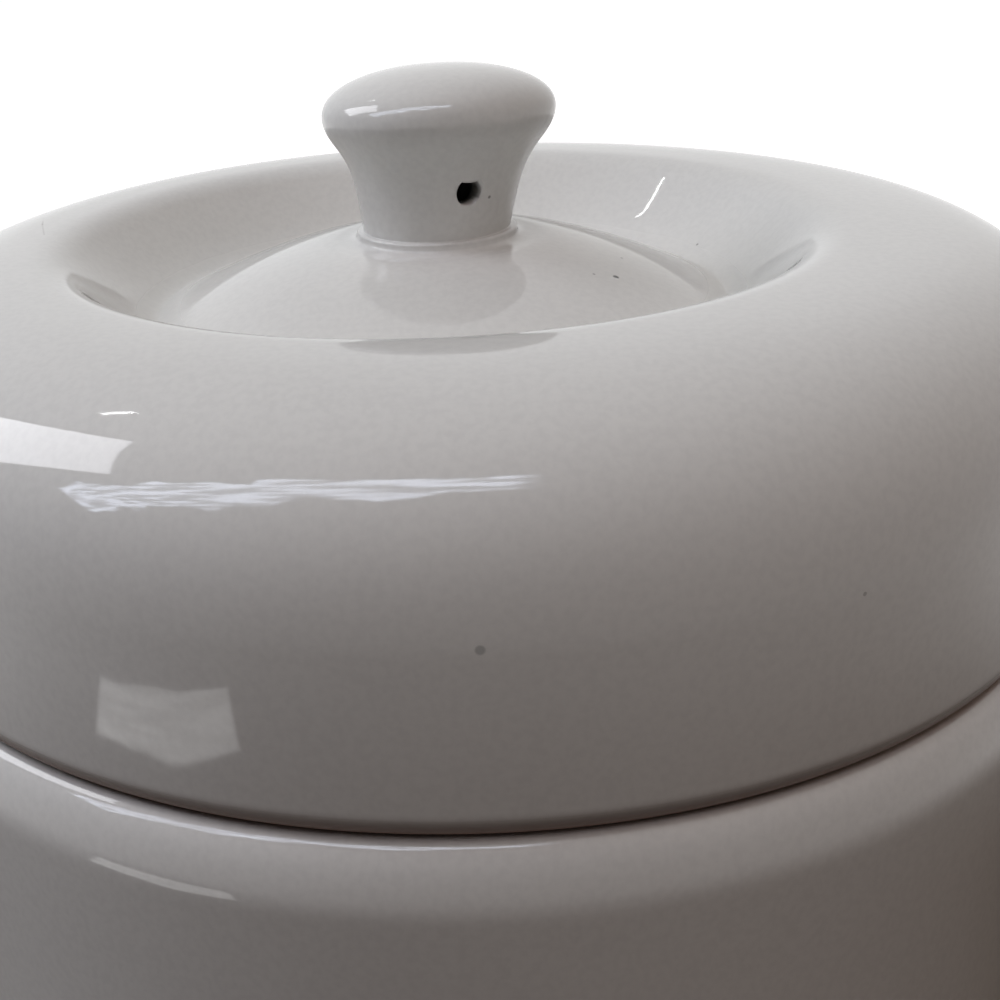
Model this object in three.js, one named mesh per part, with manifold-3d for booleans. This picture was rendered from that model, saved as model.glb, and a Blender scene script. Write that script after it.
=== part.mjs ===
// A round glazed ceramic canister: a pot, a rolled lid that lifts off, and the lid's hollow knob.
// Millimetres, +Z up. The origin is the centre of the foot ring, on the surface that the pot stands on.
// Profiles are half outlines, radius first and height second, turned about Z.

import * as THREE from 'three';
import { mergeVertices } from 'three/addons/utils/BufferGeometryUtils.js';
import Module from 'manifold-3d';

const wasm = await Module();
wasm.setup();

// Pot
const potRadius = 99.5; // widest, on the straight wall
const potHeight = 165; // from the foot to the land that the lid rests on
const potWall = 7;
const potFloor = 8; // top of the inside floor
const floorRound = 12; // inside, where the floor meets the wall
const shoulderDrop = 10; // height of the rounded shoulder below the rim
const shoulderIn = 4; // how far the shoulder draws in to the rim
const rimLand = 9.5; // width of the flat rim
const rimRound = 1.2; // inner edge of the rim
const neckDepth = 10; // straight mouth that guides the lid's flange
const neckFlare = 12; // height over which the mouth widens to the inside wall
const footHeight = 2;
const footWidth = 9; // flat ring that stands on the table
const footRecess = 2.5; // depth of the dish inside the foot ring
const recessSlope = 3; // width of the slope from the foot ring into the dish
const heelIn = 15.5; // how far the heel draws in to the foot
const heelRise = 16;

// Lid, with heights above the rim that it rests on
const lidInset = 1.5; // how far the lid's widest part stays inside the pot's wall
const lidHeight = 52; // to the top of the roll
const lidWall = 6;
const sideHeight = 25.5; // the side is widest here, and rolls over above it
const sideTuck = 0.6; // how much narrower the side is at its foot
const lowerRound = 4; // rounded lower edge
const shoulderReach = 31.5; // from the widest side in to the top of the roll
const shoulderFullness = 2.5; // 2 is an ellipse, and more is squarer
const flangeGap = 1.5; // between the flange and the pot's mouth
const flangeWall = 4;
const flangeDepth = 9;
const ledgeRise = 8; // inside, from the flange up to the side wall

// Well in the lid, and the cone in it
const rollReach = 11; // oval that the roll's inner side follows
const rollDrop = 15;
const rollFullness = 2.6;
const rollTurn = 37; // degrees of the roll before the well's wall runs straight
const troughWidth = 9; // from the roll's reach in to the foot of the cone
const troughRound = 4; // length of the rounding where the wall meets the trough
const coneDepth = 12.2; // foot of the cone below the top of the roll
const coneRise = 10; // from the foot of the cone to the fillet under the knob
const coneCrown = 1.4; // 1 is a straight cone, and more is rounder
const bossRadius = 12.9;
const bossRise = 1.8; // from the end of the cone up to the knob's seat
const bossFillet = 4.1; // width of the fillet round the knob's seat
const wellOffset = -2.6; // the well and the knob sit this far off the lid's centre, along X

// Knob, with heights above its seat
const knobHeight = 25.8;
const knobRadius = 18.6;
const domeRise = 7.4; // from the knob's widest part to its top
const domeFullness = 2.15;
const knobFootRadius = 12.1;
const knobFootRound = 0.9;
const knobWall = 4;
const knobLean = 3; // degrees, towards +X
const ventRadius = 1.85;
const ventHeight = 7.6;
const ventTurn = 21.5; // degrees from -Y towards +X

// How far a cubic curve's handles reach towards a corner that it rounds
const roundShare = 0.6;

// Curve handles of the knob's neck and head: shares of its flare, and of its height up to the widest part
const neckShares = [[0.15, 0.3], [0.18, 0.48], [0.54, 0.68]];
const headShares = [[0.71, 0.77], [1, 0.865], [1, 1]];

// Smoothness
const turnSteps = 48; // pot and lid
const knobSteps = 40;
const ventSides = 16;

// Fits that follow from the sizes above
const rimRadius = potRadius - shoulderIn;
const mouthRadius = rimRadius - rimLand;
const insideRadius = potRadius - potWall;
const footRadius = potRadius - heelIn;
const lidRadius = potRadius - lidInset;
const flangeRadius = mouthRadius - flangeGap;
const flangeInside = flangeRadius - flangeWall;
const crestRadius = lidRadius - shoulderReach;
const coneRadius = crestRadius - rollReach - troughWidth;
const coneFoot = lidHeight - coneDepth;
const coneTop = coneFoot + coneRise;
const seatHeight = coneTop + bossRise;
const headHeight = knobHeight - domeRise;

const point = (radius, height) => new THREE.Vector2(radius, height);
const radians = THREE.MathUtils.degToRad;

// Points on an arc of an ellipse, or of a squarer or rounder oval. Angle 0 is outwards, and 90 is up.
function arc({ centre, reach, rise = reach, from, to, steps, fullness = 2 }) {
  const points = [];
  const bend = (share) => Math.sign(share) * Math.abs(share) ** (2 / fullness);
  for (let i = 0; i <= steps; i++) {
    const angle = radians(from + (to - from) * i / steps);
    const outwards = reach * bend(Math.cos(angle));
    const upwards = rise * bend(Math.sin(angle));
    points.push(point(centre.x + outwards, centre.y + upwards));
  }
  return points;
}

// Where two straight lines meet, each given by a point and a way.
function meeting(start, way, otherStart, otherWay) {
  const distance = otherStart.clone().sub(start).cross(otherWay) / way.cross(otherWay);
  return start.clone().addScaledVector(way, distance);
}

// Points on a cubic curve after its start, which the outline already holds.
function eased(start, startHandle, endHandle, end, steps) {
  return new THREE.CubicBezierCurve(start, startHandle, endHandle, end).getPoints(steps).slice(1);
}

// The inner face of a wall of one thickness, for an outline that runs up and then in towards the axis.
function inset(points, wall) {
  return points.map((here, i) => {
    const before = points[Math.max(i - 1, 0)];
    const after = points[Math.min(i + 1, points.length - 1)];
    const way = after.clone().sub(before).normalize();
    return point(here.x - way.y * wall, here.y + way.x * wall);
  });
}

// A solid of revolution, from an outline that runs out from the axis, up the outside and back to the axis.
function turned(outline, steps) {
  return new THREE.LatheGeometry(outline, steps).rotateX(Math.PI / 2);
}

// Moves every point along X by an amount that depends on its radius and height.
function slid(geometry, amount) {
  const position = geometry.attributes.position;
  for (let i = 0; i < position.count; i++) {
    const x = position.getX(i);
    const radius = Math.hypot(x, position.getY(i));
    position.setX(i, x + amount(radius, position.getZ(i)));
  }
  return geometry;
}

// A closed mesh as a solid for cutting.
function solidOf(geometry) {
  const bare = geometry.clone();
  bare.deleteAttribute('normal');
  bare.deleteAttribute('uv');
  const merged = mergeVertices(bare);
  const corners = merged.index.array;
  const faces = [];
  for (let i = 0; i < corners.length; i += 3) {
    const [a, b, c] = corners.slice(i, i + 3);
    if (a !== b && b !== c && c !== a) {
      faces.push(a, b, c); // the faces that shrink to nothing at a pole are left out
    }
  }
  return new wasm.Manifold(new wasm.Mesh({
    numProp: 3,
    vertProperties: new Float32Array(merged.attributes.position.array),
    triVerts: new Uint32Array(faces),
  }));
}

function geometryOf(solid) {
  const mesh = solid.getMesh();
  const geometry = new THREE.BufferGeometry();
  geometry.setAttribute('position', new THREE.BufferAttribute(new Float32Array(mesh.vertProperties), 3));
  geometry.setIndex(new THREE.BufferAttribute(new Uint32Array(mesh.triVerts), 1));
  geometry.computeVertexNormals();
  return geometry;
}

// The pot: foot ring, rounded heel, straight wall, rounded shoulder, flat rim, and the inside to its floor.
function potGeometry() {
  const footInside = footRadius - footWidth;
  const heel = arc({
    centre: point(footRadius, footHeight + heelRise),
    reach: heelIn,
    rise: heelRise,
    from: -90,
    to: 0,
    steps: 7,
  });
  const shoulder = arc({
    centre: point(rimRadius, potHeight - shoulderDrop),
    reach: shoulderIn,
    rise: shoulderDrop,
    from: 0,
    to: 90,
    steps: 8,
  });
  const rimEdge = arc({
    centre: point(mouthRadius + rimRound, potHeight - rimRound),
    reach: rimRound,
    from: 90,
    to: 180,
    steps: 2,
  });
  const neckFoot = point(mouthRadius, potHeight - neckDepth);
  const wallTop = point(insideRadius, potHeight - neckDepth - neckFlare);
  const flare = eased(
    neckFoot,
    point(mouthRadius, (neckFoot.y + wallTop.y) / 2),
    point(insideRadius, (neckFoot.y + wallTop.y) / 2),
    wallTop,
    5,
  );
  const corner = arc({
    centre: point(insideRadius - floorRound, potFloor + floorRound),
    reach: floorRound,
    from: 0,
    to: -90,
    steps: 6,
  });
  return turned([
    point(0, footRecess),
    point(footInside - recessSlope, footRecess),
    point(footInside, 0),
    point(footRadius, 0),
    ...heel,
    ...shoulder,
    ...rimEdge,
    neckFoot,
    ...flare,
    ...corner,
    point(0, potFloor),
  ], turnSteps);
}

// The lid's upper face, from its widest side up over the roll, down into the well and up to the cone's end.
// The underside follows it a wall's thickness below, with fewer steps.
function lidFace(fineness) {
  const shoulder = arc({
    centre: point(crestRadius, sideHeight),
    reach: shoulderReach,
    rise: lidHeight - sideHeight,
    from: 0,
    to: 90,
    steps: 10 * fineness,
    fullness: shoulderFullness,
  });
  const well = arc({
    centre: point(crestRadius, lidHeight - rollDrop),
    reach: rollReach,
    rise: rollDrop,
    from: 90,
    to: 90 + rollTurn,
    steps: 6 * fineness,
    fullness: rollFullness,
  }).slice(1);
  const wallEnd = well[well.length - 1];
  const runShare = (share) => share ** (2 - 2 / rollFullness);
  const wallWay = point(
    -rollReach * runShare(Math.cos(radians(rollTurn))),
    -rollDrop * runShare(Math.sin(radians(rollTurn))),
  ).normalize();
  const coneWidth = coneRadius - bossRadius - bossFillet;
  const coneWay = point(-coneWidth, coneRise * coneCrown).normalize();
  const coneStart = point(coneRadius, coneFoot);
  const corner = meeting(wallEnd, wallWay, coneStart, coneWay);
  const troughStart = corner.clone().addScaledVector(wallWay, -troughRound);
  const trough = eased(
    troughStart,
    troughStart.clone().lerp(corner, roundShare),
    coneStart.clone().lerp(corner, roundShare),
    coneStart,
    6 * fineness,
  );
  const coneSteps = 6 * fineness;
  const cone = [];
  for (let i = 1; i <= coneSteps; i++) {
    const share = i / coneSteps;
    cone.push(point(
      coneRadius - coneWidth * share,
      coneFoot + coneRise * (1 - (1 - share) ** coneCrown),
    ));
  }
  return [...shoulder, ...well, troughStart, ...trough, ...cone];
}

// The lid: hollow under the roll, with a flange that drops into the pot's mouth and a flat land on its rim.
function lidGeometry() {
  const face = lidFace(1);
  const underside = inset(lidFace(0.5), lidWall).reverse();
  const ceiling = underside[0];
  const wallFoot = underside[underside.length - 1];
  const ledge = eased(
    wallFoot,
    point(wallFoot.x, ledgeRise),
    point(flangeInside, lidWall + ledgeRise),
    point(flangeInside, lidWall),
    5,
  );
  const flangeEnd = arc({
    centre: point(flangeRadius - flangeWall / 2, flangeWall / 2 - flangeDepth),
    reach: flangeWall / 2,
    from: -180,
    to: 0,
    steps: 6,
  });
  const sideFoot = lidRadius - sideTuck;
  const lowerEdge = arc({
    centre: point(sideFoot - lowerRound, lowerRound),
    reach: lowerRound,
    from: -90,
    to: 0,
    steps: 5,
  });
  const coneEnd = face[face.length - 1];
  const seatEdge = point(bossRadius, seatHeight);
  const fillet = eased(
    coneEnd,
    point(bossRadius + bossFillet / 2, coneTop),
    point(bossRadius, coneTop),
    seatEdge,
    4,
  );
  const outline = [
    point(0, ceiling.y),
    ...underside,
    ...ledge,
    ...flangeEnd,
    point(flangeRadius, 0),
    ...lowerEdge,
    ...face,
    ...fillet,
    point(0, seatHeight),
  ];
  return slid(turned(outline, turnSteps), (radius) => {
    const steady = THREE.MathUtils.smoothstep(radius, crestRadius, flangeInside);
    return wellOffset * (1 - steady);
  });
}

// Outline of the knob from its foot up to its top, or of its hollow, a wall's thickness inside it.
function knobOutline(wall, footRound) {
  const flare = knobRadius - knobFootRadius;
  const place = ([out, up]) => point(knobFootRadius - wall + flare * out, headHeight * up);
  const foot = arc({
    centre: point(knobFootRadius - wall - footRound, footRound),
    reach: footRound,
    from: -90,
    to: 0,
    steps: 3,
  });
  const neckStart = foot[foot.length - 1];
  const neck = eased(neckStart, ...neckShares.map(place), 5);
  const head = eased(neck[neck.length - 1], ...headShares.map(place), 4);
  const dome = arc({
    centre: point(0, headHeight),
    reach: knobRadius - wall,
    rise: domeRise - wall,
    from: 0,
    to: 90,
    steps: 8,
    fullness: domeFullness,
  });
  return [...foot, ...neck, ...head, ...dome.slice(1)];
}

// The knob: a hollow cap, open below where it sits on the lid, with a round vent through its neck.
function knobGeometry() {
  const outside = knobOutline(0, knobFootRound);
  const hollow = knobOutline(knobWall, 0).slice(3).reverse();
  const cap = solidOf(turned([...hollow, ...outside], knobSteps));
  const ventLength = 3 * knobWall;
  const ventTool = new THREE.CylinderGeometry(ventRadius, ventRadius, ventLength, ventSides);
  ventTool.translate(0, -(knobFootRadius - knobWall / 2), ventHeight);
  ventTool.rotateZ(radians(ventTurn));
  const vented = cap.subtract(solidOf(ventTool));
  return slid(geometryOf(vented), (radius, height) => height * Math.tan(radians(knobLean)));
}

const glaze = new THREE.MeshStandardMaterial({ color: 0xd8d6d2, roughness: 0.14, metalness: 0 });

function piece(name, geometry) {
  const mesh = new THREE.Mesh(geometry, glaze.clone());
  mesh.name = name;
  return mesh;
}

const canister = new THREE.Group();
canister.add(piece('pot', potGeometry()));

const lid = new THREE.Group();
lid.position.z = potHeight;
lid.add(piece('lid', lidGeometry()));

const knob = piece('knob', knobGeometry());
knob.position.set(wellOffset, 0, seatHeight);
lid.add(knob);
canister.add(lid);

export default canister;
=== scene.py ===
# Looks of a round glazed ceramic canister: pot, rolled lid and hollow knob.
# Metres in Blender. The pieces' sizes are written in millimetres and multiplied by mm.

import math

import bpy
from mathutils import Matrix, Vector


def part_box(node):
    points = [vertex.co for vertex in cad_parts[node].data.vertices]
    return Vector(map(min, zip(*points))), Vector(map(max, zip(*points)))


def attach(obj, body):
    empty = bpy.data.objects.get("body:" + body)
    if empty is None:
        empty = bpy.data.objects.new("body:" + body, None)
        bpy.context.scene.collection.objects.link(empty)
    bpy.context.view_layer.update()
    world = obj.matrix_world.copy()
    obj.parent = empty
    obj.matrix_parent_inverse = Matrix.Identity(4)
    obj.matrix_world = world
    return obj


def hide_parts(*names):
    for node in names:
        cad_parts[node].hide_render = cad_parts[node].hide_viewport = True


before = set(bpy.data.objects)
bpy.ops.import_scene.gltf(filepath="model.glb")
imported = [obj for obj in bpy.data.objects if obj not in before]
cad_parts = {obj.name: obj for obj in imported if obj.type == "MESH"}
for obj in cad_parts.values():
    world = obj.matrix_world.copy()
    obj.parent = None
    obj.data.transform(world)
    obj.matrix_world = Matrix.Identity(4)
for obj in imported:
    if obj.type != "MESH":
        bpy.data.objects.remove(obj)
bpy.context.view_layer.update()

mm = 0.001
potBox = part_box("pot")
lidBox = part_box("lid")
potRadius = potBox[1].x / mm
lidRadius = lidBox[1].x / mm
potHeight = potBox[1].z / mm
lidHeight = lidBox[1].z / mm - potHeight


def deselectAll():
    if bpy.context.object and bpy.context.object.mode != "OBJECT":
        bpy.ops.object.mode_set(mode="OBJECT")
    bpy.ops.object.select_all(action="DESELECT")


# Outlines: lists of (radius, height) in millimetres, from the axis out and back to the axis

def bend(share, fullness):
    return math.copysign(abs(share) ** (2 / fullness), share)


def arc(centre, reach, rise, start, end, steps, fullness=2):
    # part of an ellipse, or of a squarer oval; 0 degrees is outwards and 90 is up
    points = []
    for i in range(steps + 1):
        turn = math.radians(start + (end - start) * i / steps)
        out = reach * bend(math.cos(turn), fullness)
        up = rise * bend(math.sin(turn), fullness)
        points.append((centre[0] + out, centre[1] + up))
    return points


def eased(start, startHandle, endHandle, end, steps):
    # points of a cubic curve after its start
    points = []
    for i in range(1, steps + 1):
        t = i / steps
        weights = ((1 - t) ** 3, 3 * t * (1 - t) ** 2, 3 * t * t * (1 - t), t ** 3)
        corners = (start, startHandle, endHandle, end)
        points.append(tuple(sum(w * c[k] for w, c in zip(weights, corners)) for k in (0, 1)))
    return points


def rounded(before, corner, after, radius, steps=6):
    # a small round in place of a corner
    def towards(goal):
        way = Vector(goal) - Vector(corner)
        return tuple(Vector(corner) + way * min(0.5, radius / way.length))

    start = towards(before)
    end = towards(after)
    handle = 0.55
    startHandle = tuple(Vector(start).lerp(Vector(corner), handle))
    endHandle = tuple(Vector(end).lerp(Vector(corner), handle))
    return [start] + eased(start, startHandle, endHandle, end, steps)


def inset(points, wall):
    # the inner face of a wall of one thickness
    inner = []
    for i, here in enumerate(points):
        before = Vector(points[max(i - 1, 0)])
        after = Vector(points[min(i + 1, len(points) - 1)])
        way = (after - before).normalized()
        inner.append((here[0] - way.y * wall, here[1] + way.x * wall))
    return inner


def meeting(start, way, otherStart, otherWay):
    # where two straight lines meet
    across = way.x * otherWay.y - way.y * otherWay.x
    gap = otherStart - start
    distance = (gap.x * otherWay.y - gap.y * otherWay.x) / across
    return start + way * distance


# Modelling

def drawOutline(name, places):
    # a plane shrunk to one corner, which is pulled along the outline
    deselectAll()
    bpy.ops.mesh.primitive_plane_add(size=mm)
    shape = bpy.context.object
    shape.name = name
    shape.data.name = name
    bpy.ops.object.mode_set(mode="EDIT")
    bpy.ops.mesh.select_all(action="SELECT")
    bpy.ops.mesh.merge(type="CENTER")
    bpy.ops.transform.translate(value=places[0])
    for here, there in zip(places, places[1:]):
        bpy.ops.mesh.extrude_region_move(TRANSFORM_OT_translate={"value": there - here})
    return shape


def spinShell(name, places, steps, centre=(0, 0, 0), axis=(0, 0, 1)):
    # an outline turned about an axis into a closed shell; left in edit mode, all selected
    shell = drawOutline(name, places)
    bpy.ops.mesh.select_all(action="SELECT")
    bpy.ops.mesh.spin(steps=steps, angle=math.tau, center=centre, axis=axis)
    bpy.ops.mesh.select_all(action="SELECT")
    bpy.ops.mesh.remove_doubles(threshold=0.002 * mm)
    bpy.ops.mesh.normals_make_consistent(inside=False)
    return shell


def aboutZ(points):
    return [Vector((radius * mm, 0, height * mm)) for radius, height in points]


def selectWhere(shape, test):
    # selects the vertices that pass the test; ends in edit mode
    bpy.ops.object.mode_set(mode="EDIT")
    bpy.ops.mesh.select_mode(type="VERT")
    bpy.ops.mesh.select_all(action="DESELECT")
    bpy.ops.object.mode_set(mode="OBJECT")
    for vertex in shape.data.vertices:
        vertex.select = test(vertex.co)
    bpy.ops.object.mode_set(mode="EDIT")


def smoothed(shape):
    bpy.ops.object.mode_set(mode="OBJECT")
    deselectAll()
    shape.select_set(True)
    bpy.context.view_layer.objects.active = shape
    bpy.ops.object.shade_smooth()
    return shape


# Pot

pot = {
    "wall": 7,
    "floor": 8,
    "floorRound": 12,
    "shoulderDrop": 10,
    "shoulderIn": 4,
    "rimLand": 9.5,
    "rimRound": 1.2,
    "neckDepth": 10,
    "neckFlare": 12,
    "footHeight": 2,
    "footWidth": 9,
    "footRecess": 2.5,
    "recessSlope": 3,
    "footRound": 0.8,
    "heelIn": 15.5,
    "heelRise": 16,
    "wallStart": 26,
    "wallStep": 8,
    "turns": 288,
}


def potOutline():
    rim = potRadius - pot["shoulderIn"]
    mouth = rim - pot["rimLand"]
    inside = potRadius - pot["wall"]
    foot = potRadius - pot["heelIn"]
    ringInside = foot - pot["footWidth"]
    dish = (ringInside - pot["recessSlope"], pot["footRecess"])
    ringInner = (ringInside, 0)
    ringOuter = (foot, 0)
    heel = arc(
        (foot, pot["footHeight"] + pot["heelRise"]),
        pot["heelIn"], pot["heelRise"], -90, 0, 28,
    )
    start, step = pot["wallStart"], pot["wallStep"]
    shoulderFoot = int(potHeight - pot["shoulderDrop"])
    wall = [(potRadius, height) for height in range(start, shoulderFoot, step)]
    shoulder = arc(
        (rim, potHeight - pot["shoulderDrop"]),
        pot["shoulderIn"], pot["shoulderDrop"], 0, 90, 28,
    )
    rimEdge = arc(
        (mouth + pot["rimRound"], potHeight - pot["rimRound"]),
        pot["rimRound"], pot["rimRound"], 90, 180, 8,
    )
    neckFoot = (mouth, potHeight - pot["neckDepth"])
    wallTop = (inside, neckFoot[1] - pot["neckFlare"])
    middle = (neckFoot[1] + wallTop[1]) / 2
    flare = eased(neckFoot, (mouth, middle), (inside, middle), wallTop, 20)
    innerStart = int(wallTop[1]) - step // 2
    innerWall = [(inside, height) for height in range(innerStart, start, -step)]
    corner = arc(
        (inside - pot["floorRound"], pot["floor"] + pot["floorRound"]),
        pot["floorRound"], pot["floorRound"], 0, -90, 20,
    )
    return [
        (0, dish[1]),
        (dish[0] / 2, dish[1]),
        *rounded((0, dish[1]), dish, ringInner, pot["footRound"]),
        *rounded(dish, ringInner, ringOuter, pot["footRound"]),
        *rounded(ringInner, ringOuter, heel[0], pot["footRound"]),
        *heel[1:],
        *wall,
        *shoulder,
        *rimEdge,
        neckFoot,
        *flare,
        *innerWall,
        *corner,
        (corner[-1][0] / 2, pot["floor"]),
        (0, pot["floor"]),
    ]


def makePot():
    shell = spinShell("potShell", aboutZ(potOutline()), pot["turns"])
    return smoothed(shell)


# Knob, with heights above its seat on the lid

knob = {
    "height": 25.65,
    "radius": 18.6,
    "domeRise": 7.4,
    "domeFullness": 2.15,
    "footRadius": 12.1,
    "footRound": 0.25,
    "wall": 4,
    "lean": 3,
    "tipBack": 4,
    "tipFrom": 0.8,
    "tipFade": 0.3,
    "ventRadius": 2.05,
    "ventFlare": 0.45,
    "ventHeight": 7.6,
    "ventDepth": 7.2,
    "ventTurn": 21.5,
    "turns": 192,
}
knobNeckShares = ((0.15, 0.3), (0.18, 0.48), (0.54, 0.68))
knobHeadShares = ((0.71, 0.77), (1, 0.865), (1, 1))
knobFootSteps = 10


def knobSide(wall, footRound):
    # from the foot up to the top; the hollow has the same lines a wall's thickness further in
    headHeight = knob["height"] - knob["domeRise"]
    foot = knob["footRadius"] - wall
    flare = knob["radius"] - knob["footRadius"]

    def place(shares):
        return (foot + flare * shares[0], headHeight * shares[1])

    centre = (foot - footRound, footRound)
    start = arc(centre, footRound, footRound, -90, 0, knobFootSteps)
    neck = eased(start[-1], *map(place, knobNeckShares), 24)
    head = eased(neck[-1], *map(place, knobHeadShares), 20)
    dome = arc(
        (0, headHeight), knob["radius"] - wall, knob["domeRise"] - wall,
        0, 90, 36, knob["domeFullness"],
    )
    return [*start, *neck, *head, *dome[1:]]


def knobOutline():
    hollow = knobSide(knob["wall"], 0)[knobFootSteps:][::-1]
    return hollow + knobSide(0, knob["footRound"])


def knobRadiusAt(height):
    side = knobSide(0, knob["footRound"])
    return next(radius for radius, up in side if up >= height)


def ventCutter():
    # a round hole with a flared mouth, spun about its own axis
    turn = math.radians(knob["ventTurn"])
    way = Vector((math.sin(turn), -math.cos(turn), 0))
    surface = knobRadiusAt(knob["ventHeight"])
    flare = knob["ventFlare"]
    mouth = arc((surface - flare, knob["ventRadius"] + flare), flare, flare, -90, 0, 8)
    end = surface - knob["ventDepth"]
    outline = [
        (end, 0),
        (end, knob["ventRadius"]),
        *mouth,
        (surface + flare, knob["ventRadius"] + flare),
        (surface + flare, 0),
    ]
    centre = Vector((0, 0, knob["ventHeight"] * mm))
    places = [centre + (way * along + Vector((0, 0, out))) * mm for along, out in outline]
    cutter = spinShell("ventCutter", places, 48, centre, way)
    bpy.ops.object.mode_set(mode="OBJECT")
    return cutter


def makeKnob():
    cutter = ventCutter()
    cap = spinShell("knobCap", aboutZ(knobOutline()), knob["turns"])
    bpy.ops.object.mode_set(mode="OBJECT")
    cut = cap.modifiers.new("vent", "BOOLEAN")
    cut.object = cutter
    cut.operation = "DIFFERENCE"
    cut.solver = "EXACT"
    bpy.ops.object.modifier_apply(modifier=cut.name)
    bpy.data.objects.remove(cutter)
    # the head is tipped back a little, as seen in its outline
    headHeight = (knob["height"] - knob["domeRise"]) * mm
    selectWhere(cap, lambda place: place.z > knob["tipFrom"] * headHeight)
    bpy.ops.transform.rotate(
        value=math.radians(knob["tipBack"]),
        orient_axis="X",
        center_override=(0, 0, headHeight),
        use_proportional_edit=True,
        proportional_edit_falloff="SMOOTH",
        proportional_size=knob["tipFade"] * headHeight,
    )
    bpy.ops.object.mode_set(mode="OBJECT")
    lean = Matrix.Identity(4)
    lean[0][2] = math.tan(math.radians(knob["lean"]))
    seat = lidHeight - lid["coneDepth"] + lid["coneRise"] + lid["bossRise"]
    place = Vector((lid["wellOffset"], 0, potHeight + seat)) * mm
    cap.data.transform(Matrix.Translation(place) @ lean)
    return smoothed(cap)


# Lid, with heights above the rim that it rests on

lid = {
    "wall": 6,
    "sideHeight": 25.5,
    "sideTuck": 0.6,
    "lowerRound": 4,
    "shoulderReach": 31.5,
    "shoulderFullness": 2.5,
    "flangeRadius": 84.5,
    "flangeWall": 4,
    "flangeDepth": 9,
    "flangeRound": 0.8,
    "ledgeRise": 8,
    "rollReach": 11,
    "rollDrop": 15,
    "rollFullness": 2.6,
    "rollTurn": 37,
    "troughWidth": 9,
    "troughRound": 7.5,
    "coneDepth": 12.2,
    "coneRise": 10,
    "coneCrown": 1.4,
    "bossRadius": 13.1,
    "bossRise": 1.8,
    "bossFillet": 3.9,
    "bossRound": 0.9,
    "slipRise": 0.7,
    "wellOffset": -2.6,
    "turns": 288,
}


def lidFace(fineness):
    # from the widest side up over the roll, down into the well and up the cone to its end
    crest = lidRadius - lid["shoulderReach"]
    shoulder = arc(
        (crest, lid["sideHeight"]),
        lid["shoulderReach"], lidHeight - lid["sideHeight"],
        0, 90, int(40 * fineness), lid["shoulderFullness"],
    )
    roll = arc(
        (crest, lidHeight - lid["rollDrop"]),
        lid["rollReach"], lid["rollDrop"],
        90, 90 + lid["rollTurn"], int(20 * fineness), lid["rollFullness"],
    )[1:]
    wallEnd = Vector(roll[-1])
    turn = math.radians(lid["rollTurn"])
    run = 2 - 2 / lid["rollFullness"]
    wallWay = Vector((
        -lid["rollReach"] * math.cos(turn) ** run,
        -lid["rollDrop"] * math.sin(turn) ** run,
    )).normalized()
    cone = crest - lid["rollReach"] - lid["troughWidth"]
    coneFoot = lidHeight - lid["coneDepth"]
    coneWidth = cone - lid["bossRadius"] - lid["bossFillet"]
    coneStart = Vector((cone, coneFoot))
    coneWay = Vector((-coneWidth, lid["coneRise"] * lid["coneCrown"])).normalized()
    corner = meeting(wallEnd, wallWay, coneStart, coneWay)
    troughStart = corner - wallWay * lid["troughRound"]
    handle = 0.6
    trough = eased(
        troughStart, troughStart.lerp(corner, handle),
        coneStart.lerp(corner, handle), coneStart, int(20 * fineness),
    )
    wallMiddle = wallEnd.lerp(troughStart, 0.5)
    slope = []
    slopeSteps = int(26 * fineness)
    for i in range(1, slopeSteps + 1):
        share = i / slopeSteps
        rise = lid["coneRise"] * (1 - (1 - share) ** lid["coneCrown"])
        slope.append((cone - coneWidth * share, coneFoot + rise))
    return [*shoulder, *roll, tuple(wallMiddle), tuple(troughStart), *trough, *slope]


def lidOutline():
    face = lidFace(1)
    underside = inset(lidFace(0.5), lid["wall"])[::-1]
    wallFoot = underside[-1]
    flangeInside = lid["flangeRadius"] - lid["flangeWall"]
    ledge = eased(
        wallFoot,
        (wallFoot[0], lid["ledgeRise"]),
        (flangeInside, lid["wall"] + lid["ledgeRise"]),
        (flangeInside, lid["wall"]), 20,
    )
    flangeHalf = lid["flangeWall"] / 2
    flangeEnd = arc(
        (lid["flangeRadius"] - flangeHalf, flangeHalf - lid["flangeDepth"]),
        flangeHalf, flangeHalf, -180, 0, 20,
    )
    sideFoot = lidRadius - lid["sideTuck"]
    lowerEdge = arc(
        (sideFoot - lid["lowerRound"], lid["lowerRound"]),
        lid["lowerRound"], lid["lowerRound"], -90, 0, 18,
    )
    coneEnd = face[-1]
    seat = coneEnd[1] + lid["bossRise"]
    lip = (lid["bossRadius"], seat)
    lipFoot = (lid["bossRadius"], seat - lid["bossRound"])
    fillet = eased(
        coneEnd,
        (coneEnd[0] - lid["bossFillet"] / 2, coneEnd[1]),
        (lid["bossRadius"], coneEnd[1]),
        lipFoot, 16,
    )
    # slip that was pressed out under the knob and glazed over
    slipTop = (knob["footRadius"], seat + lid["slipRise"])
    slipFoot = (lid["bossRadius"] - lid["bossRound"], seat)
    slip = eased(slipFoot, (slipTop[0], seat), (slipTop[0], seat), slipTop, 8)
    seatEdge = (knob["footRadius"] - lid["slipRise"], seat)
    points = [
        (0, underside[0][1]),
        (underside[0][0] / 2, underside[0][1]),
        *underside,
        *ledge,
        *flangeEnd,
        *rounded(flangeEnd[-1], (lid["flangeRadius"], 0), lowerEdge[0], lid["flangeRound"]),
        *lowerEdge,
        *face,
        *fillet[:-1],
        *rounded(lipFoot, lip, slipFoot, lid["bossRound"]),
        *slip,
        seatEdge,
        (seatEdge[0] / 2, seat),
        (0, seat),
    ]
    return [(radius, potHeight + height) for radius, height in points]


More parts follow.
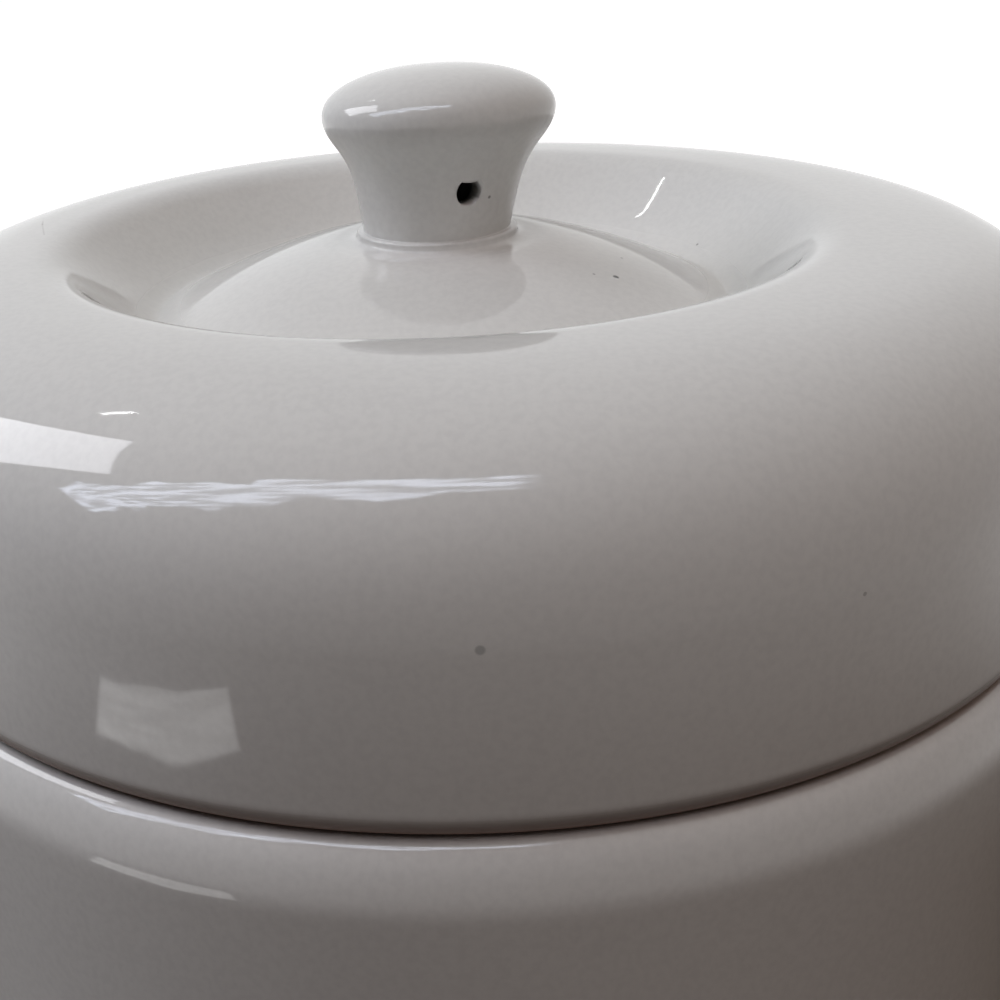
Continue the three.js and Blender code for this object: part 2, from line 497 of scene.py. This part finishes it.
def makeLid():
    shell = spinShell("lidShell", aboutZ(lidOutline()), lid["turns"])
    crest = (lidRadius - lid["shoulderReach"]) * mm
    fade = (lid["flangeRadius"] - lid["flangeWall"]) * mm - crest
    selectWhere(shell, lambda place: place.xy.length < crest)
    bpy.ops.transform.translate(
        value=(lid["wellOffset"] * mm, 0, 0),
        use_proportional_edit=True,
        proportional_edit_falloff="SMOOTH",
        proportional_size=fade,
    )
    return smoothed(shell)


potShell = makePot()
print("pot modelled")
lidShell = makeLid()
print("lid modelled")
knobCap = makeKnob()
print("knob modelled")


# Frame: each piece rides on a body and stands for a node, whose imported part is hidden

for piece, body, node, slot in (
    (potShell, "pot", "pot", "pot_glaze"),
    (lidShell, "lid", "lid", "lid_glaze"),
    (knobCap, "lid", "knob", "knob_glaze"),
):
    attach(piece, body)
    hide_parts(node)


# Shader nodes

def joined(tree, value, socket):
    # a number or a colour is set on the socket, and another node's output is linked to it
    if isinstance(value, bpy.types.NodeSocket):
        tree.links.new(value, socket)
    elif value is not None:
        socket.default_value = value


def addMath(tree, operation, first, second=None, third=None):
    node = tree.nodes.new("ShaderNodeMath")
    node.operation = operation
    for socket, value in zip(node.inputs, (first, second, third)):
        joined(tree, value, socket)
    return node.outputs[0]


def addVectorMath(tree, operation, first, second=None, output="Vector"):
    node = tree.nodes.new("ShaderNodeVectorMath")
    node.operation = operation
    for socket, value in zip(node.inputs, (first, second)):
        joined(tree, value, socket)
    return node.outputs[output]


def addRange(tree, value, start, end, low=0, high=1):
    # an eased step from low to high as the value goes from start to end
    node = tree.nodes.new("ShaderNodeMapRange")
    node.interpolation_type = "SMOOTHSTEP"
    for label, number in (("Value", value), ("From Min", start), ("From Max", end),
                          ("To Min", low), ("To Max", high)):
        joined(tree, number, node.inputs[label])
    return node.outputs["Result"]


def addNoise(tree, vector, scale, detail=2):
    node = tree.nodes.new("ShaderNodeTexNoise")
    tree.links.new(vector, node.inputs["Vector"])
    node.inputs["Scale"].default_value = scale
    node.inputs["Detail"].default_value = detail
    return node.outputs["Fac"]


def addMix(tree, share, first, second):
    node = tree.nodes.new("ShaderNodeMix")
    node.data_type = "RGBA"
    joined(tree, share, node.inputs["Factor"])
    colours = [socket for socket in node.inputs if socket.type == "RGBA"]
    joined(tree, first, colours[0])
    joined(tree, second, colours[1])
    return next(socket for socket in node.outputs if socket.type == "RGBA")


def makeGroup(name, inputs, outputs):
    tree = bpy.data.node_groups.new(name, "ShaderNodeTree")
    for label, kind, value in inputs:
        socket = tree.interface.new_socket(label, in_out="INPUT", socket_type=kind)
        if value is not None:
            socket.default_value = value
    for label, kind in outputs:
        tree.interface.new_socket(label, in_out="OUTPUT", socket_type=kind)
    given = tree.nodes.new("NodeGroupInput").outputs
    made = tree.nodes.new("NodeGroupOutput").inputs
    return tree, given, made


def useGroup(tree, group, **values):
    node = tree.nodes.new("ShaderNodeGroup")
    node.node_tree = group
    for label, value in values.items():
        joined(tree, value, node.inputs[label])
    return node.outputs


glazeGrain = {
    "cloudScale": 26,
    "grainScale": 900,
    "grainShare": 0.4,
    "speckScale": 85,
    "speckRarity": (0.88, 0.9),
    "speckSizes": (0.012, 0.034),
    "speckShare": 0.5,
    "unevenScale": 70,
    "unevenGloss": 0.03,
    "swellScale": 15,
    "peelScale": 240,
    "peelShare": 0.012,
}


def makeGlazeSkin():
    # fired glaze: faint clouds, fine grain, a few iron specks and a slightly uneven gloss
    tree, given, made = makeGroup(
        "glaze skin",
        [
            ("Vector", "NodeSocketVector", None),
            ("Colour", "NodeSocketColor", (0.7, 0.69, 0.66, 1)),
            ("Pooled", "NodeSocketColor", (0.6, 0.59, 0.57, 1)),
            ("Speck", "NodeSocketColor", (0.25, 0.22, 0.2, 1)),
            ("Clouds", "NodeSocketFloat", 0.3),
            ("Gloss", "NodeSocketFloat", 0.05),
        ],
        [
            ("Colour", "NodeSocketColor"),
            ("Roughness", "NodeSocketFloat"),
            ("Height", "NodeSocketFloat"),
        ],
    )
    place = given["Vector"]
    clouds = addRange(tree, addNoise(tree, place, glazeGrain["cloudScale"], 3), 0.3, 0.75)
    noise = addNoise(tree, place, glazeGrain["grainScale"])
    grain = addRange(tree, noise, 0.3, 0.75, 0, glazeGrain["grainShare"])
    share = addMath(tree, "MULTIPLY_ADD", clouds, given["Clouds"], grain)
    colour = addMix(tree, share, given["Colour"], given["Pooled"])
    cells = tree.nodes.new("ShaderNodeTexVoronoi")
    cells.inputs["Scale"].default_value = glazeGrain["speckScale"]
    tree.links.new(place, cells.inputs["Vector"])
    lottery = tree.nodes.new("ShaderNodeSeparateColor")
    tree.links.new(cells.outputs["Color"], lottery.inputs["Color"])
    drawn = addRange(tree, lottery.outputs[0], *glazeGrain["speckRarity"])
    size = addRange(tree, lottery.outputs[1], 0, 1, *glazeGrain["speckSizes"])
    dot = addMath(tree, "LESS_THAN", cells.outputs["Distance"], size)
    speck = addMath(tree, "MULTIPLY", dot, drawn)
    speck = addMath(tree, "MULTIPLY", speck, glazeGrain["speckShare"])
    joined(tree, addMix(tree, speck, colour, given["Speck"]), made["Colour"])
    noise = addNoise(tree, place, glazeGrain["unevenScale"])
    uneven = addRange(tree, noise, 0.3, 0.7, 0, glazeGrain["unevenGloss"])
    joined(tree, addMath(tree, "ADD", given["Gloss"], uneven), made["Roughness"])
    swell = addNoise(tree, place, glazeGrain["swellScale"], 1)
    peel = addNoise(tree, place, glazeGrain["peelScale"])
    peel = addMath(tree, "MULTIPLY", peel, glazeGrain["peelShare"])
    joined(tree, addMath(tree, "ADD", swell, peel), made["Height"])
    return tree


clayGrain = {"stainScale": 60, "gritScale": 1500, "roughness": (0.75, 0.95), "gritShare": 0.1}


def makeBareClay():
    # unglazed fired clay, where a piece stood in the kiln or rests on its neighbour
    tree, given, made = makeGroup(
        "bare clay",
        [
            ("Vector", "NodeSocketVector", None),
            ("Colour", "NodeSocketColor", (0.62, 0.55, 0.45, 1)),
            ("Stain", "NodeSocketColor", (0.4, 0.31, 0.23, 1)),
        ],
        [
            ("Colour", "NodeSocketColor"),
            ("Roughness", "NodeSocketFloat"),
            ("Height", "NodeSocketFloat"),
        ],
    )
    place = given["Vector"]
    stain = addRange(tree, addNoise(tree, place, clayGrain["stainScale"], 4), 0.4, 0.8)
    joined(tree, addMix(tree, stain, given["Colour"], given["Stain"]), made["Colour"])
    grit = addNoise(tree, place, clayGrain["gritScale"], 3)
    joined(tree, addRange(tree, grit, 0.2, 0.8, *clayGrain["roughness"]), made["Roughness"])
    joined(tree, addMath(tree, "MULTIPLY", grit, clayGrain["gritShare"]), made["Height"])
    return tree


def makeRing():
    # a mask round the axis, between two radii and two heights, with soft edges
    tree, given, made = makeGroup(
        "ring mask",
        [
            ("Vector", "NodeSocketVector", None),
            ("Inside", "NodeSocketFloat", 0.0),
            ("Outside", "NodeSocketFloat", 1.0),
            ("Bottom", "NodeSocketFloat", 0.0),
            ("Top", "NodeSocketFloat", 1.0),
            ("Softness", "NodeSocketFloat", 0.0005),
        ],
        [("Mask", "NodeSocketFloat")],
    )
    split = tree.nodes.new("ShaderNodeSeparateXYZ")
    tree.links.new(given["Vector"], split.inputs[0])
    flat = addVectorMath(tree, "MULTIPLY", given["Vector"], (1, 1, 0))
    radius = addVectorMath(tree, "LENGTH", flat, output="Value")
    mask = 1.0
    for value, low, high in (
        (radius, given["Inside"], given["Outside"]),
        (split.outputs["Z"], given["Bottom"], given["Top"]),
    ):
        soft = given["Softness"]
        rising = addRange(tree, value, addMath(tree, "SUBTRACT", low, soft), low)
        falling = addRange(tree, value, high, addMath(tree, "ADD", high, soft), 1, 0)
        mask = addMath(tree, "MULTIPLY", mask, addMath(tree, "MULTIPLY", rising, falling))
    joined(tree, mask, made["Mask"])
    return tree


pinholeCore = 0.55  # the share of its radius that is dark all over


def makePinhole():
    # a round mark at one place
    tree, given, made = makeGroup(
        "pinhole",
        [
            ("Vector", "NodeSocketVector", None),
            ("Place", "NodeSocketVector", (0, 0, 0)),
            ("Radius", "NodeSocketFloat", 0.0004),
        ],
        [("Mask", "NodeSocketFloat")],
    )
    distance = addVectorMath(tree, "DISTANCE", given["Vector"], given["Place"], "Value")
    core = addMath(tree, "MULTIPLY", given["Radius"], pinholeCore)
    joined(tree, addRange(tree, distance, core, given["Radius"], 1, 0), made["Mask"])
    return tree


def makeHairline():
    # a thin crack in the glaze between two places
    tree, given, made = makeGroup(
        "hairline",
        [
            ("Vector", "NodeSocketVector", None),
            ("Start", "NodeSocketVector", (0, 0, 0)),
            ("End", "NodeSocketVector", (1, 0, 0)),
            ("Width", "NodeSocketFloat", 0.0003),
        ],
        [("Mask", "NodeSocketFloat")],
    )
    along = addVectorMath(tree, "SUBTRACT", given["End"], given["Start"])
    here = addVectorMath(tree, "SUBTRACT", given["Vector"], given["Start"])
    reach = addVectorMath(tree, "DOT_PRODUCT", here, along, "Value")
    span = addVectorMath(tree, "DOT_PRODUCT", along, along, "Value")
    share = addMath(tree, "DIVIDE", reach, span)
    held = addMath(tree, "MINIMUM", addMath(tree, "MAXIMUM", share, 0.0), 1.0)
    nearest = tree.nodes.new("ShaderNodeVectorMath")
    nearest.operation = "SCALE"
    joined(tree, along, nearest.inputs[0])
    joined(tree, held, nearest.inputs["Scale"])
    distance = addVectorMath(tree, "DISTANCE", here, nearest.outputs[0], "Value")
    joined(tree, addRange(tree, distance, 0.0, given["Width"], 1, 0), made["Mask"])
    return tree


glazeSkin = makeGlazeSkin()
bareClay = makeBareClay()
ringMask = makeRing()
pinhole = makePinhole()
hairline = makeHairline()


# Materials: glaze, bare clay where the kiln shelf or the neighbour touched, brown dust and
# painted shade in the seam, duller glaze in the trough, pinholes and a fine crack. A ring is
# inside and outside radius, bottom, top and softness; a pit is its place, radius and share.

glazeLook = {
    "colour": (0.71, 0.70, 0.672, 1),
    "pooled": (0.62, 0.61, 0.59, 1),
    "speck": (0.2, 0.17, 0.15, 1),
    "clouds": 0.25,
    "gloss": 0.03,
    "swell": 0.3,
    # brown dust with painted shade for the seam; also the dark in the hairline cracks
    "dustAndShade": (0.09, 0.034, 0.016, 1),
    "dustAndShadeRoughness": 0.6,
    "clayRoughness": 0.8,
    "pit": (0.03, 0.025, 0.02, 1),
    "pitDepth": 0.3,
    "ior": 1.5,
}


def ringOf(tree, place, ring):
    inside, outside, bottom, top, softness = (value * mm for value in ring)
    return useGroup(
        tree, ringMask, Vector=place, Inside=inside, Outside=outside,
        Bottom=bottom, Top=top, Softness=softness,
    )["Mask"]


def glazeMaterial(name, clayRings=(), dustAndShadeRings=(), dullRings=(), pits=(), cracks=()):
    material = bpy.data.materials.new(name)
    material.use_nodes = True
    tree = material.node_tree
    shader = tree.nodes["Principled BSDF"]
    place = tree.nodes.new("ShaderNodeTexCoord").outputs["Object"]
    skin = useGroup(
        tree, glazeSkin, Vector=place, Colour=glazeLook["colour"], Pooled=glazeLook["pooled"],
        Speck=glazeLook["speck"], Clouds=glazeLook["clouds"], Gloss=glazeLook["gloss"],
    )
    colour, roughness, height = skin["Colour"], skin["Roughness"], skin["Height"]
    clay = useGroup(tree, bareClay, Vector=place)
    for ring in clayRings:
        mask = ringOf(tree, place, ring)
        colour = addMix(tree, mask, colour, clay["Colour"])
        roughness = addMath(tree, "MULTIPLY_ADD", mask, glazeLook["clayRoughness"], roughness)
        height = addMath(tree, "MULTIPLY_ADD", mask, clay["Height"], height)
    # rings of brown dust and painted shade, darker and duller, where the seam lies in shade
    for ring, share in dustAndShadeRings:
        mask = addMath(tree, "MULTIPLY", ringOf(tree, place, ring), share)
        colour = addMix(tree, mask, colour, glazeLook["dustAndShade"])
        roughness = addMath(tree, "MULTIPLY_ADD", mask, glazeLook["dustAndShadeRoughness"], roughness)
    for ring, dulling in dullRings:
        roughness = addMath(tree, "MULTIPLY_ADD", ringOf(tree, place, ring), dulling, roughness)
    for *spot, radius, share in pits:
        spot = [value * mm for value in spot]
        mask = useGroup(tree, pinhole, Vector=place, Place=spot, Radius=radius * mm)["Mask"]
        colour = addMix(tree, addMath(tree, "MULTIPLY", mask, share), colour, glazeLook["pit"])
        depth = addMath(tree, "MULTIPLY", mask, glazeLook["pitDepth"] * share ** 3)
        height = addMath(tree, "SUBTRACT", height, depth)
    for start, end, width, share in cracks:
        mask = useGroup(
            tree, hairline, Vector=place, Start=[value * mm for value in start],
            End=[value * mm for value in end], Width=width * mm,
        )["Mask"]
        colour = addMix(tree, addMath(tree, "MULTIPLY", mask, share), colour, glazeLook["dustAndShade"])
    bump = tree.nodes.new("ShaderNodeBump")
    bump.inputs["Strength"].default_value = 1
    bump.inputs["Distance"].default_value = glazeLook["swell"] * mm
    joined(tree, height, bump.inputs["Height"])
    joined(tree, colour, shader.inputs["Base Color"])
    joined(tree, roughness, shader.inputs["Roughness"])
    joined(tree, bump.outputs["Normal"], shader.inputs["Normal"])
    shader.inputs["IOR"].default_value = glazeLook["ior"]
    return material


foot = potRadius - pot["heelIn"]
rim = potRadius - pot["shoulderIn"]
mouth = rim - pot["rimLand"]
seam = potHeight

potShell.data.materials.append(glazeMaterial(
    "pot glaze",
    clayRings=[
        (foot - pot["footWidth"] - 1, foot + 1, -1, 0.6, 0.7),
        (mouth + 0.8, rim - 1, seam - 0.3, seam + 1, 0.4),
    ],
    # dust and painted shade on the pot's rim land, inside the seam
    dustAndShadeRings=[((rim - 2.2, rim - 1.2, seam - 0.5, seam + 1, 0.7), 0.85)],
))
lidShell.data.materials.append(glazeMaterial(
    "lid glaze",
    clayRings=[(lid["flangeRadius"] + 0.8, lidRadius - 4.6, seam - 1, seam + 0.2, 0.4)],
    # dust and painted shade on the lid's lower edge, darkest at the seam and fading up over its
    # round
    dustAndShadeRings=[
        ((lidRadius - 6, lidRadius + 1, seam - 1, seam + 0.7, 1.1), 0.9),
        ((lidRadius - 5, lidRadius + 1, seam - 1, seam + 1.9, 2.9), 0.88),
    ],
    dullRings=[((42, 60, seam + 36, seam + 40.5, 3), 0.28)],
    pits=[
        (24.9, -16.2, 211.0, 0.62, 1.0),
        (43.4, 20.5, 206.3, 0.4, 0.6),
        (26.8, -6.9, 211.5, 0.3, 0.5),
        (21.4, -17.1, 211.8, 0.3, 0.5),
        (1.3, -98.0, 191.6, 0.75, 0.42),
    ],
    cracks=[
        ((-74.1, 26.7, 216.0), (-71.0, 12.2, 216.9), 0.3, 0.5),
        ((-71.0, 12.2, 216.9), (-68.6, 3.9, 217.0), 0.25, 0.25),
    ],
))
knobCap.data.materials.append(glazeMaterial(
    "knob glaze",
    pits=[(5.8, -10.4, 223.0, 0.35, 0.6)],
))
print("glaze made")


# Floor and room: white where they are seen or mirrored, dimmer where they throw light back

room = {
    "floorSize": 30,
    "floorColour": (0.78, 0.74, 0.7, 1),
    "floorBounce": (0.21, 0.18, 0.15, 1),
    "nearLift": 0.1,
    "farLift": 1.0,
    "liftRing": (0.22, 0.62),
    "mirrorRing": (0.24, 0.5),
    "worldStrength": 0.03,
    "worldColour": (0.93, 0.94, 1, 1),
}


def seenShare(tree):
    # 1 for camera, glossy and transmission rays
    path = tree.nodes.new("ShaderNodeLightPath").outputs
    some = addMath(tree, "MAXIMUM", path["Is Camera Ray"], path["Is Glossy Ray"])
    return addMath(tree, "MAXIMUM", some, path["Is Transmission Ray"])


def mixShaders(tree, share, first, second):
    mix = tree.nodes.new("ShaderNodeMixShader")
    for value, socket in zip((share, first, second), mix.inputs):
        tree.links.new(value, socket)
    return mix.outputs[0]


def setSurface(tree, shader, kind="ShaderNodeOutputMaterial"):
    tree.links.new(shader, tree.nodes.new(kind).inputs["Surface"])


def makeFloor():
    # pale and lit by the lamps nearby, rising to white farther off; the underside of the object
    # sees it darker, and the glaze sees it darker near the object, a painted shadow of the
    # object
    deselectAll()
    bpy.ops.mesh.primitive_plane_add(size=room["floorSize"])
    floor = bpy.context.object
    floor.name = "floor"
    material = bpy.data.materials.new("pale floor")
    material.use_nodes = True
    tree = material.node_tree
    tree.nodes.clear()
    bounce = tree.nodes.new("ShaderNodeBsdfDiffuse")
    bounce.inputs["Color"].default_value = room["floorBounce"]
    pale = tree.nodes.new("ShaderNodeBsdfDiffuse")
    pale.inputs["Color"].default_value = room["floorColour"]
    path = tree.nodes.new("ShaderNodeLightPath").outputs
    base = mixShaders(tree, path["Is Camera Ray"], bounce.outputs[0], pale.outputs[0])
    place = tree.nodes.new("ShaderNodeTexCoord").outputs["Object"]
    distance = addVectorMath(tree, "LENGTH", place, output="Value")
    seen = addRange(tree, distance, *room["liftRing"], room["nearLift"], room["farLift"])
    # no white lift in the glaze near the object: a painted shadow of the object on the floor
    mirrored = addRange(tree, distance, *room["mirrorRing"], 0, room["farLift"])
    through = addMath(tree, "MAXIMUM", path["Is Glossy Ray"], path["Is Transmission Ray"])
    strength = addMath(
        tree, "MAXIMUM", addMath(tree, "MULTIPLY", path["Is Camera Ray"], seen),
        addMath(tree, "MULTIPLY", through, mirrored),
    )
    lift = tree.nodes.new("ShaderNodeEmission")
    joined(tree, strength, lift.inputs["Strength"])
    both = tree.nodes.new("ShaderNodeAddShader")
    tree.links.new(base, both.inputs[0])
    tree.links.new(lift.outputs[0], both.inputs[1])
    setSurface(tree, both.outputs[0])
    floor.data.materials.append(material)


def makeWorld():
    world = bpy.data.worlds.new("room")
    bpy.context.scene.world = world
    world.use_nodes = True
    tree = world.node_tree
    tree.nodes.clear()
    dim = tree.nodes.new("ShaderNodeBackground")
    dim.inputs["Color"].default_value = room["worldColour"]
    dim.inputs["Strength"].default_value = room["worldStrength"]
    white = tree.nodes.new("ShaderNodeBackground")
    white.inputs["Color"].default_value = (1, 1, 1, 1)
    shader = mixShaders(tree, seenShare(tree), dim.outputs[0], white.outputs[0])
    setSurface(tree, shader, "ShaderNodeOutputWorld")


makeFloor()
makeWorld()


# Lamps: soft square panels that aren't mirrored. "turn" is the way to the lamp seen from above,
# 0 towards the viewer and 90 to the viewer's right, and "rise" is its angle above the lid.

softLamps = {
    "backLeft": {"turn": -120, "rise": 63, "watts": 2.1, "colour": (0.86, 1, 0.94)},
    "left": {"turn": -90, "rise": 48, "watts": 1.0, "colour": (0.35, 0.45, 1)},
    "top": {"turn": 0, "rise": 80, "watts": 2.0, "colour": (0.93, 1, 0.96)},
    "front": {"turn": 0, "rise": 63, "watts": 4.5, "colour": (1, 0.93, 0.97)},
    "right": {"turn": 60, "rise": 48, "watts": 1.0, "colour": (1, 0.56, 0.3)},
}
softLampSize = 0.9
softLampDistance = 1.3
lampTarget = Vector((0, 0, 0.2))

# Windows and bright things in the room, which show in the glaze as hard-edged shapes

windows = {
    "leftWindow": {
        "centre": (-1.24, 0.16, 1.01),
        "across": (-0.376, 0.536, -0.576), "up": (0.241, 0.437, 0.232),
        "watts": 8.6, "colour": (0.94, 0.95, 1), "lighting": True,
    },
    "gap": {
        "centre": (-0.795, 0.515, 1.363),
        "across": (0.1, 0.045, 0.038), "up": (0.016, 0, -0.026),
        "watts": 0.3,
    },
}


def facing(centre, across, up):
    # a place and turn whose back, a lamp's dark side, is away from the lid
    sideways = Vector(across).normalized()
    away = sideways.cross(Vector(up)).normalized()
    if away.dot(lampTarget - Vector(centre)) > 0:
        away = -away
    turn = Matrix((sideways, away.cross(sideways), away)).transposed().to_4x4()
    return Matrix.Translation(centre) @ turn


def addLamp(name, centre, across, up, watts, colour=(1, 1, 1), mirrored=True, lighting=False):
    data = bpy.data.lights.new(name, "AREA")
    data.shape = "RECTANGLE"
    data.size = Vector(across).length
    data.size_y = Vector(up).length
    data.energy = watts
    data.color = colour
    lamp = bpy.data.objects.new(name, data)
    bpy.context.scene.collection.objects.link(lamp)
    lamp.matrix_world = facing(centre, across, up)
    lamp.visible_camera = False
    lamp.visible_glossy = mirrored
    lamp.visible_diffuse = lighting
    return lamp


def addSoftLamp(name, turn, rise, watts, colour):
    turn = math.radians(turn)
    rise = math.radians(rise)
    flat = math.cos(rise)
    way = Vector((math.sin(turn) * flat, -math.cos(turn) * flat, math.sin(rise)))
    across = way.cross(Vector((0, 0, 1))).normalized() * softLampSize
    up = way.cross(across)
    centre = lampTarget + way * softLampDistance
    addLamp(name, centre, across, up, watts, colour, mirrored=False, lighting=True)


for name, values in softLamps.items():
    addSoftLamp(name, **values)
for name, values in windows.items():
    addLamp(name, **values)
print("lamps placed")


# Cards: bright shapes with torn edges that are seen only in the glaze

cards = {
    "sky": {
        "centre": (-1.07, -0.764, 1.205), "across": (2.7, 0, 0), "up": (0, 0.66, 0.353),
        "strength": 9, "colour": (0.8, 0.86, 1, 1),
        "tear": 0.5, "taper": 0.5, "streaks": (5, 1.5), "dimmest": 0.25,
    },
    "tableLight": {
        "centre": (-0.27, -0.235, 0.003), "across": (0.112, -0.122, 0), "up": (0.055, 0.05, 0),
        "strength": 2.7, "colour": (1, 0.99, 0.98, 1),
        "tear": 0.3, "taper": 0.1, "streaks": (1.5, 1), "dimmest": 0.75,
    },
}


# Torn edges, in shares of a card's width and height; a noise's scale comes before its detail
cardTear = {
    "shift": (3.7, 1.9, 0),
    "topNoise": (1.6, 3),
    "footNoise": (2.2, 5),
    "footLine": 0.45,
    "footSoftness": 0.08,
    "topEdge": (0.34, 0.38),
    "endEdge": (0.44, 0.49),
    "ridgeStretch": (0.8, 4, 1),
    "ridgeNoise": (2.2, 4),
    "ridgeEdge": (0.42, 0.58),
}


def makeTorn():
    # how bright a card is at a place: full inside, nothing past its torn edges
    tree, given, made = makeGroup(
        "torn card",
        [
            ("Vector", "NodeSocketVector", None),
            ("Tear", "NodeSocketFloat", 0.2),
            ("Taper", "NodeSocketFloat", 0.0),
            ("Streaks", "NodeSocketVector", (1, 1, 1)),
            ("Dimmest", "NodeSocketFloat", 0.25),
        ],
        [("Brightness", "NodeSocketFloat")],
    )
    place = given["Vector"]
    stretched = addVectorMath(tree, "MULTIPLY", place, given["Streaks"])
    shifted = addVectorMath(tree, "ADD", stretched, cardTear["shift"])
    split = tree.nodes.new("ShaderNodeSeparateXYZ")
    tree.links.new(place, split.inputs[0])
    along, across = split.outputs["X"], split.outputs["Y"]
    topWave = addMath(tree, "SUBTRACT", addNoise(tree, stretched, *cardTear["topNoise"]), 0.5)
    footWave = addMath(tree, "SUBTRACT", addNoise(tree, shifted, *cardTear["footNoise"]), 0.5)
    top = addMath(tree, "MULTIPLY_ADD", topWave, given["Tear"], across)
    foot = addMath(tree, "MULTIPLY_ADD", footWave, given["Tear"], across)
    rise = addMath(tree, "MULTIPLY", addMath(tree, "ADD", along, 0.5), given["Taper"])
    low = addMath(tree, "SUBTRACT", rise, cardTear["footLine"])
    above = addRange(tree, foot, low, addMath(tree, "ADD", low, cardTear["footSoftness"]))
    below = addRange(tree, top, *cardTear["topEdge"], 1, 0)
    ends = addRange(tree, addMath(tree, "ABSOLUTE", along), *cardTear["endEdge"], 1, 0)
    fine = addVectorMath(tree, "MULTIPLY", shifted, cardTear["ridgeStretch"])
    noise = addNoise(tree, fine, *cardTear["ridgeNoise"])
    ridges = addRange(tree, noise, *cardTear["ridgeEdge"], given["Dimmest"], 1)
    brightness = addMath(tree, "MULTIPLY", addMath(tree, "MULTIPLY", above, below), ends)
    brightness = addMath(tree, "MULTIPLY", brightness, ridges)
    joined(tree, brightness, made["Brightness"])
    return tree


def addCard(name, centre, across, up, strength, colour, tear, taper, streaks, dimmest):
    deselectAll()
    bpy.ops.mesh.primitive_plane_add(size=1)
    card = bpy.context.object
    card.name = name
    card.matrix_world = facing(centre, across, up)
    card.scale = (Vector(across).length, Vector(up).length, 1)
    material = bpy.data.materials.new(name + " light")
    material.use_nodes = True
    tree = material.node_tree
    tree.nodes.clear()
    place = tree.nodes.new("ShaderNodeTexCoord").outputs["Object"]
    brightness = useGroup(
        tree, tornCard, Vector=place, Tear=tear, Taper=taper, Streaks=(*streaks, 1),
        Dimmest=dimmest,
    )["Brightness"]
    glow = tree.nodes.new("ShaderNodeBsdfPrincipled")
    glow.inputs["Base Color"].default_value = (0, 0, 0, 1)
    glow.inputs["Specular IOR Level"].default_value = 0
    glow.inputs["Emission Color"].default_value = colour
    glow.inputs["Emission Strength"].default_value = strength
    joined(tree, brightness, glow.inputs["Alpha"])
    setSurface(tree, glow.outputs[0])
    card.data.materials.append(material)
    card.visible_camera = False
    card.visible_diffuse = False
    card.visible_shadow = False
    card.visible_transmission = False


tornCard = makeTorn()
for name, values in cards.items():
    addCard(name, **values)
print("cards placed")


# Camera, set to the photograph's view

camera = {
    "place": (0, -0.2403, 0.2708),
    "turn": (66.672, 2.88, 1.412),
    "lens": 53.189,
    "sensor": 36,
    "shift": (0.10, 0.0035),
}


def makeCamera():
    data = bpy.data.cameras.new("camera")
    data.lens = camera["lens"]
    data.sensor_width = camera["sensor"]
    data.shift_x, data.shift_y = camera["shift"]
    data.clip_start = 0.01
    view = bpy.data.objects.new("camera", data)
    bpy.context.scene.collection.objects.link(view)
    view.location = camera["place"]
    view.rotation_euler = [math.radians(angle) for angle in camera["turn"]]
    bpy.context.scene.camera = view


makeCamera()
bpy.context.scene.view_settings.view_transform = "Standard"
